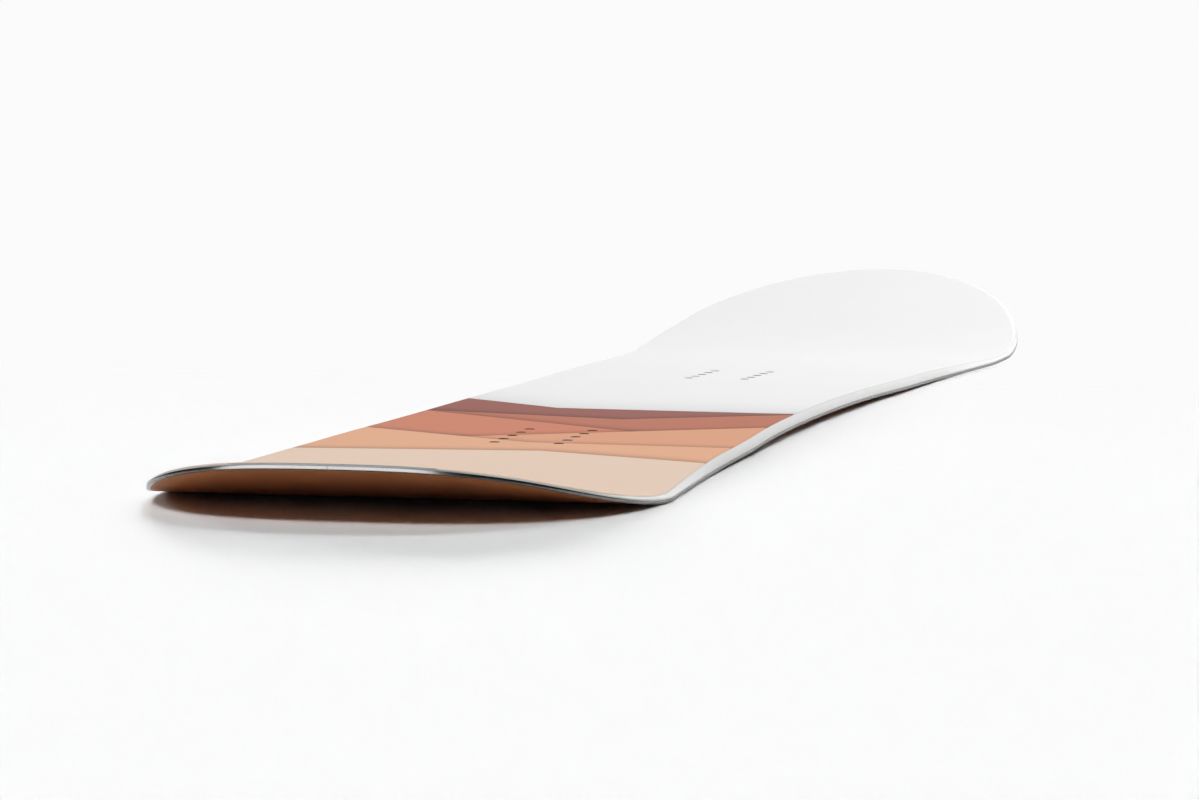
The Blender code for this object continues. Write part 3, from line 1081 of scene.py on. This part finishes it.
def insert_profile():
    """Radius and height, from the middle of the bore's floor up the thread and down the outside."""
    profile = [(0.0, BORE_END), (THREAD_CREST, BORE_END)]
    height = BORE_END + THREAD_PITCH / 2
    while height < INSERT_TOP - THREAD_PITCH:
        profile += [(THREAD_ROOT, height), (THREAD_CREST, height + THREAD_PITCH / 2)]
        height += THREAD_PITCH
    profile += [(THREAD_ROOT, INSERT_TOP - EASING), (THREAD_ROOT + EASING, INSERT_TOP)]
    profile += [(BARREL - BARREL_EASING, INSERT_TOP), (BARREL, INSERT_TOP - BARREL_EASING)]
    profile += [(BARREL, BORE_END), (FLANGE - EASING, BORE_END), (FLANGE, BORE_END - EASING)]
    return profile + [(FLANGE, INSERT_FOOT), (0.0, INSERT_FOOT)]


def turn_insert():
    nut = start_piece("turned_insert", bpy.ops.mesh.primitive_plane_add, size=MM)
    profile = insert_profile()
    open_piece(nut)
    bpy.ops.mesh.select_mode(type="VERT")
    select_all()
    bpy.ops.mesh.merge(type="CENTER")
    bpy.ops.transform.translate(value=(profile[0][0], 0.0, profile[0][1]))
    for (radius, height), (next_radius, next_height) in zip(profile, profile[1:]):
        extrude((next_radius - radius, 0.0, next_height - height))
    select_all()
    bpy.ops.mesh.spin(steps=TURN_STEPS, angle=math.tau, center=(0, 0, 0), axis=(0, 0, 1), use_auto_merge=True)
    select_all()
    bpy.ops.mesh.remove_doubles(threshold=WELD)
    face_outwards()
    close_piece()
    bpy.ops.object.shade_smooth_by_angle(angle=SHADING_ANGLE)
    return nut


nut = turn_insert()
report(nut)

# %% Set the twenty inserts
INSERT_FINISH = finish(
    "zinc_insert",
    colours=((0.30, 0.30, 0.31), (0.42, 0.42, 0.43)),
    roughness=(0.30, 0.50),
    grain=(900.0, 900.0, 5000.0),
    relief=0.01 * MM,
    metallic=1.0,
)
for name, (x, y) in SPOTS.items():
    insert = copy_of(nut, name.replace("insert", "nut"))
    insert.location = (x, y, float(base_height(x)))
    bpy.ops.object.transform_apply(location=True, rotation=False, scale=False)
    finish_piece(insert, INSERT_FINISH, "insert_steel", name)
bpy.data.objects.remove(nut)
print("inserts set:", len(SPOTS))

# %% [markdown]
# The wood core stays as the CAD has it, since nothing of it shows and its shape is right. It still gets real
# wood: pores and year rings that run along the board, pale for poplar and redder for beech.

# %% Wood finishes
POPLAR = finish(
    "poplar_wood",
    colours=((0.52, 0.36, 0.19), (0.70, 0.52, 0.31)),
    roughness=(0.55, 0.75),
    grain=(4.0, 260.0, 160.0),
    relief=0.05 * MM,
    patches=30.0,
)
BEECH = finish(
    "beech_wood",
    colours=((0.42, 0.22, 0.11), (0.58, 0.34, 0.19)),
    roughness=(0.50, 0.70),
    grain=(9.0, 420.0, 220.0),
    relief=0.04 * MM,
    patches=40.0,
)
for name in [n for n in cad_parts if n.startswith("core_strip")]:
    strip = bpy.data.objects[name]
    wood = BEECH if "insert" in name else POPLAR
    for slot in strip.material_slots:
        slot.material = wood
print("wood strips finished")

# %% [markdown]
# The studio is a wide white floor that runs on into a white background. The floor's colour and the lamps are
# matched so that the lit floor is nearly white. To the camera, to gloss and through glass, floor and world
# are white. For soft light the floor is grey and the world almost dark, so that the lamps do the work. Under
# the nose and beside the front half of the board the floor is a light table: it glows, so that hardly a
# shadow shows there. From below the floor can't be seen at all.

# %% Floor
FLOOR_SIZE = 400.0
FLOOR_WHITE = (0.963, 0.963, 0.963)
FLOOR_BOUNCE = (0.50, 0.50, 0.50)
UNDER_NOSE = (0.30, 0.48)
BESIDE_BOARD = (-0.37, 0.27)
EDGE_GLOW = 9.0 * MM


def seen_directly(tree):
    """1 for what the camera sees, straight or by gloss or through glass, and 0 for soft bounced light."""
    path = add_node(tree, "LightPath")
    seen = math_node(tree, "MAXIMUM", path.outputs["Is Camera Ray"], path.outputs["Is Glossy Ray"])
    return math_node(tree, "MAXIMUM", seen, path.outputs["Is Transmission Ray"])


def light_table(tree):
    """How much the floor glows: fully under the nose, and more and more beside the board towards it."""
    place = split_place(tree, object_place(tree))
    off = math_node(tree, "SUBTRACT", place["X"], SIDECUT_MIDDLE)
    squared = math_node(tree, "MULTIPLY", off, off)
    arc = math_node(tree, "MULTIPLY", squared, SIDECUT_DEPTH / SIDECUT_REACH ** 2)
    out = math_node(tree, "SUBTRACT", math_node(tree, "ABSOLUTE", place["Y"]), arc)
    beside = scale_range(tree, out, WAIST_WIDTH / 2, WAIST_WIDTH / 2 + EDGE_GLOW)
    beside = math_node(tree, "MULTIPLY", beside, scale_range(tree, place["X"], *BESIDE_BOARD))
    return math_node(tree, "MAXIMUM", beside, scale_range(tree, place["X"], *UNDER_NOSE))


def make_floor():
    floor = start_piece("studio_floor", bpy.ops.mesh.primitive_plane_add, size=FLOOR_SIZE, location=(0, 0, 0))
    material, tree, shader = new_material("studio_white")
    white = mix_colours(tree, seen_directly(tree), FLOOR_BOUNCE, FLOOR_WHITE)
    glow = light_table(tree)
    feed(shader, {
        "Base Color": scale_colour(tree, white, math_node(tree, "SUBTRACT", 1.0, glow)),
        "Emission Color": white,
        "Emission Strength": glow,
        "Roughness": 1.0,
        "Specular IOR Level": 0.0,
    })
    sides = add_node(tree, "MixShader")
    feed(sides, {
        0: add_node(tree, "NewGeometry").outputs["Backfacing"],
        1: shader.outputs[0],
        2: add_node(tree, "BsdfTransparent").outputs[0],
    })
    tree.links.new(sides.outputs[0], tree.nodes["Material Output"].inputs["Surface"])
    floor.data.materials.append(material)
    return floor


floor = make_floor()
print("floor, m:", FLOOR_SIZE)

# %% World
BACKGROUND = 0.965
DOME = 0.001
WHITE = (1.0, 1.0, 1.0)
BLACK = (0.0, 0.0, 0.0)


def make_world():
    world = bpy.data.worlds.new("studio")
    bpy.context.scene.world = world
    world.use_nodes = True
    tree = world.node_tree
    tree.nodes.clear()
    strength = scale_range(tree, seen_directly(tree), 0.0, 1.0, DOME, BACKGROUND)
    light = add_node(tree, "Background")
    feed(light, {"Color": WHITE, "Strength": strength})
    feed(add_node(tree, "OutputWorld"), {0: light.outputs[0]})


make_world()
print("world set")

# %% [markdown]
# The lamps are soft boxes, most of them so far off that a sun with a wide angle does. Some light the floor
# and the board, and some only one of them, since one set can't light both as the studio does. A near lamp
# beside the nose brightens the far half. Gloss sees none of them.

# %% Lamps


def direction(azimuth, elevation):
    """A unit vector. Azimuth 0 points back from the tail, and 90 to the board's right."""
    turn = math.radians(azimuth)
    lift = math.radians(elevation)
    return Vector((-math.cos(turn) * math.cos(lift), -math.sin(turn) * math.cos(lift), math.sin(lift)))


def hang_lamp(data, back):
    """Adds a lamp that gloss can't see. back points from what it lights to the lamp."""
    lamp = bpy.data.objects.new(data.name, data)
    lamp.rotation_mode = "QUATERNION"
    lamp.rotation_quaternion = back.to_track_quat("Z", "Y")
    lamp.visible_glossy = False
    bpy.context.scene.collection.objects.link(lamp)
    return lamp


def add_sun(name, azimuth, elevation, share, softness):
    """A far lamp. share is its part of the light on the floor, where 1 lights a white floor to white."""
    data = bpy.data.lights.new(name, "SUN")
    data.energy = share * math.pi / math.sin(math.radians(elevation))
    data.angle = math.radians(softness)
    return hang_lamp(data, direction(azimuth, elevation))


def light_only(lamp, lit):
    """Lets a lamp light the floor alone or, where lit is board, everything but the floor."""
    receivers = bpy.data.collections.new(lamp.name + "_receivers")
    receivers.objects.link(floor)
    if lit == "board":
        receivers.collection_objects[0].light_linking.link_state = "EXCLUDE"
    lamp.light_linking.receiver_collection = receivers


# Each lamp: what it lights, its azimuth, elevation, share and softness, with the angles in degrees.
LAMPS = {
    "key_soft_box": ("both", -21.0, 54.5, 0.345, 21.0),
    "front_soft_box": ("both", 8.0, 50.0, 0.105, 20.0),
    "back_soft_box": ("both", 181.0, 40.2, 0.157, 10.4),
    "back_right_soft_box": ("both", 154.0, 29.3, 0.084, 15.5),
    "back_wall_left": ("floor", 223.9, 10.3, 0.084, 7.3),
    "back_wall_middle": ("floor", 199.6, 10.1, 0.232, 9.2),
    "side_soft_box": ("board", 74.0, 42.0, 0.070, 30.0),
    "low_side_soft_box": ("board", 82.0, 16.0, 0.028, 20.0),
    "left_soft_box": ("board", -100.0, 60.0, 0.095, 20.0),
}
for name, (lit, *setting) in LAMPS.items():
    lamp = add_sun(name, *setting)
    if lit != "both":
        light_only(lamp, lit)
NOSE_LAMP_PLACE = (1.0, -1.2, 0.6)
NOSE_LAMP_AIM = (0.2, 0.0, 0.0)
NOSE_LAMP_SIZE = 0.6
NOSE_LAMP_WATTS = 9.2


def add_nose_lamp():
    """A square lamp beside the nose. Being near, it lights the far half of the board more than the tail."""
    data = bpy.data.lights.new("nose_soft_box", "AREA")
    data.size = NOSE_LAMP_SIZE
    data.energy = NOSE_LAMP_WATTS
    lamp = hang_lamp(data, Vector(NOSE_LAMP_PLACE) - Vector(NOSE_LAMP_AIM))
    lamp.location = NOSE_LAMP_PLACE
    lamp.visible_camera = False
    light_only(lamp, "board")


add_nose_lamp()
print("lamps set")

# %% [markdown]
# Polished steel shows what stands round it. In the studio that is one large soft box on the camera's left,
# and black cards on both sides of it. They stand here as one upright ring round the tail, which only gloss
# can see: it lights nothing, throws no shadow and never shows in the picture itself.

# %% Cards that the steel reflects
CARD_RADIUS = 3.0
CARD_HEIGHT = 3.2
CARD_SIDES = 120
# Each card: the azimuths between which it stands, in degrees, and its brightness.
CARDS = {
    "soft_box_face": ((-64.0, 20.0), 4.3),
    "black_card_left": ((-150.0, -64.0), 0.02),
    "black_card_right": ((20.0, 131.0), 0.02),
}


def make_card(name, reach, brightness):
    card = start_piece(name, bpy.ops.mesh.primitive_cylinder_add, vertices=CARD_SIDES, radius=CARD_RADIUS,
                       depth=CARD_HEIGHT, end_fill_type="NOTHING", location=(TAIL_END, 0, CARD_HEIGHT / 2))
    open_piece(card)

    def outside(face):
        centre = face.calc_center_median()
        azimuth = math.degrees(math.atan2(-centre.y, -centre.x))
        return not reach[0] < azimuth < reach[1]

    pick(card, "FACE", outside)
    bpy.ops.mesh.delete(type="FACE")
    close_piece()
    material, tree, shader = new_material(name)
    feed(shader, {"Base Color": BLACK, "Emission Color": WHITE, "Emission Strength": brightness})
    feed(shader, {"Specular IOR Level": 0.0})
    card.data.materials.append(material)
    for ray in ("camera", "diffuse", "transmission", "volume_scatter", "shadow"):
        setattr(card, f"visible_{ray}", False)


for name, (reach, brightness) in CARDS.items():
    make_card(name, reach, brightness)
print("cards:", ", ".join(CARDS))

# %% [markdown]
# The camera stands low behind the tail, a little to the board's right, and looks along it. It stands well
# back and has a long lens, which keeps the nose from looking tiny.

# %% Camera
CAMERA_PLACE = (-3.2398, -0.7936, 0.2811)
CAMERA_YAW = math.radians(14.5422)
CAMERA_PITCH = math.radians(-4.6976)
LENS = 149.978
SENSOR = 36.0
NEAREST = 0.05
FARTHEST = 1000.0


def add_camera():
    data = bpy.data.cameras.new("camera")
    data.lens = LENS
    data.sensor_width = SENSOR
    data.clip_start = NEAREST
    data.clip_end = FARTHEST
    camera = bpy.data.objects.new("camera", data)
    camera.location = CAMERA_PLACE
    camera.rotation_euler = (math.pi / 2 + CAMERA_PITCH, 0.0, CAMERA_YAW - math.pi / 2)
    bpy.context.scene.collection.objects.link(camera)
    bpy.context.scene.camera = camera


add_camera()
bpy.context.scene.view_settings.view_transform = "Standard"
print("camera lens, mm:", LENS)

# %% [markdown]
# Last the scene is brought up to date. The visible board has to fill the same box as the CAD model.

# %% Update the scene
bpy.context.view_layer.update()
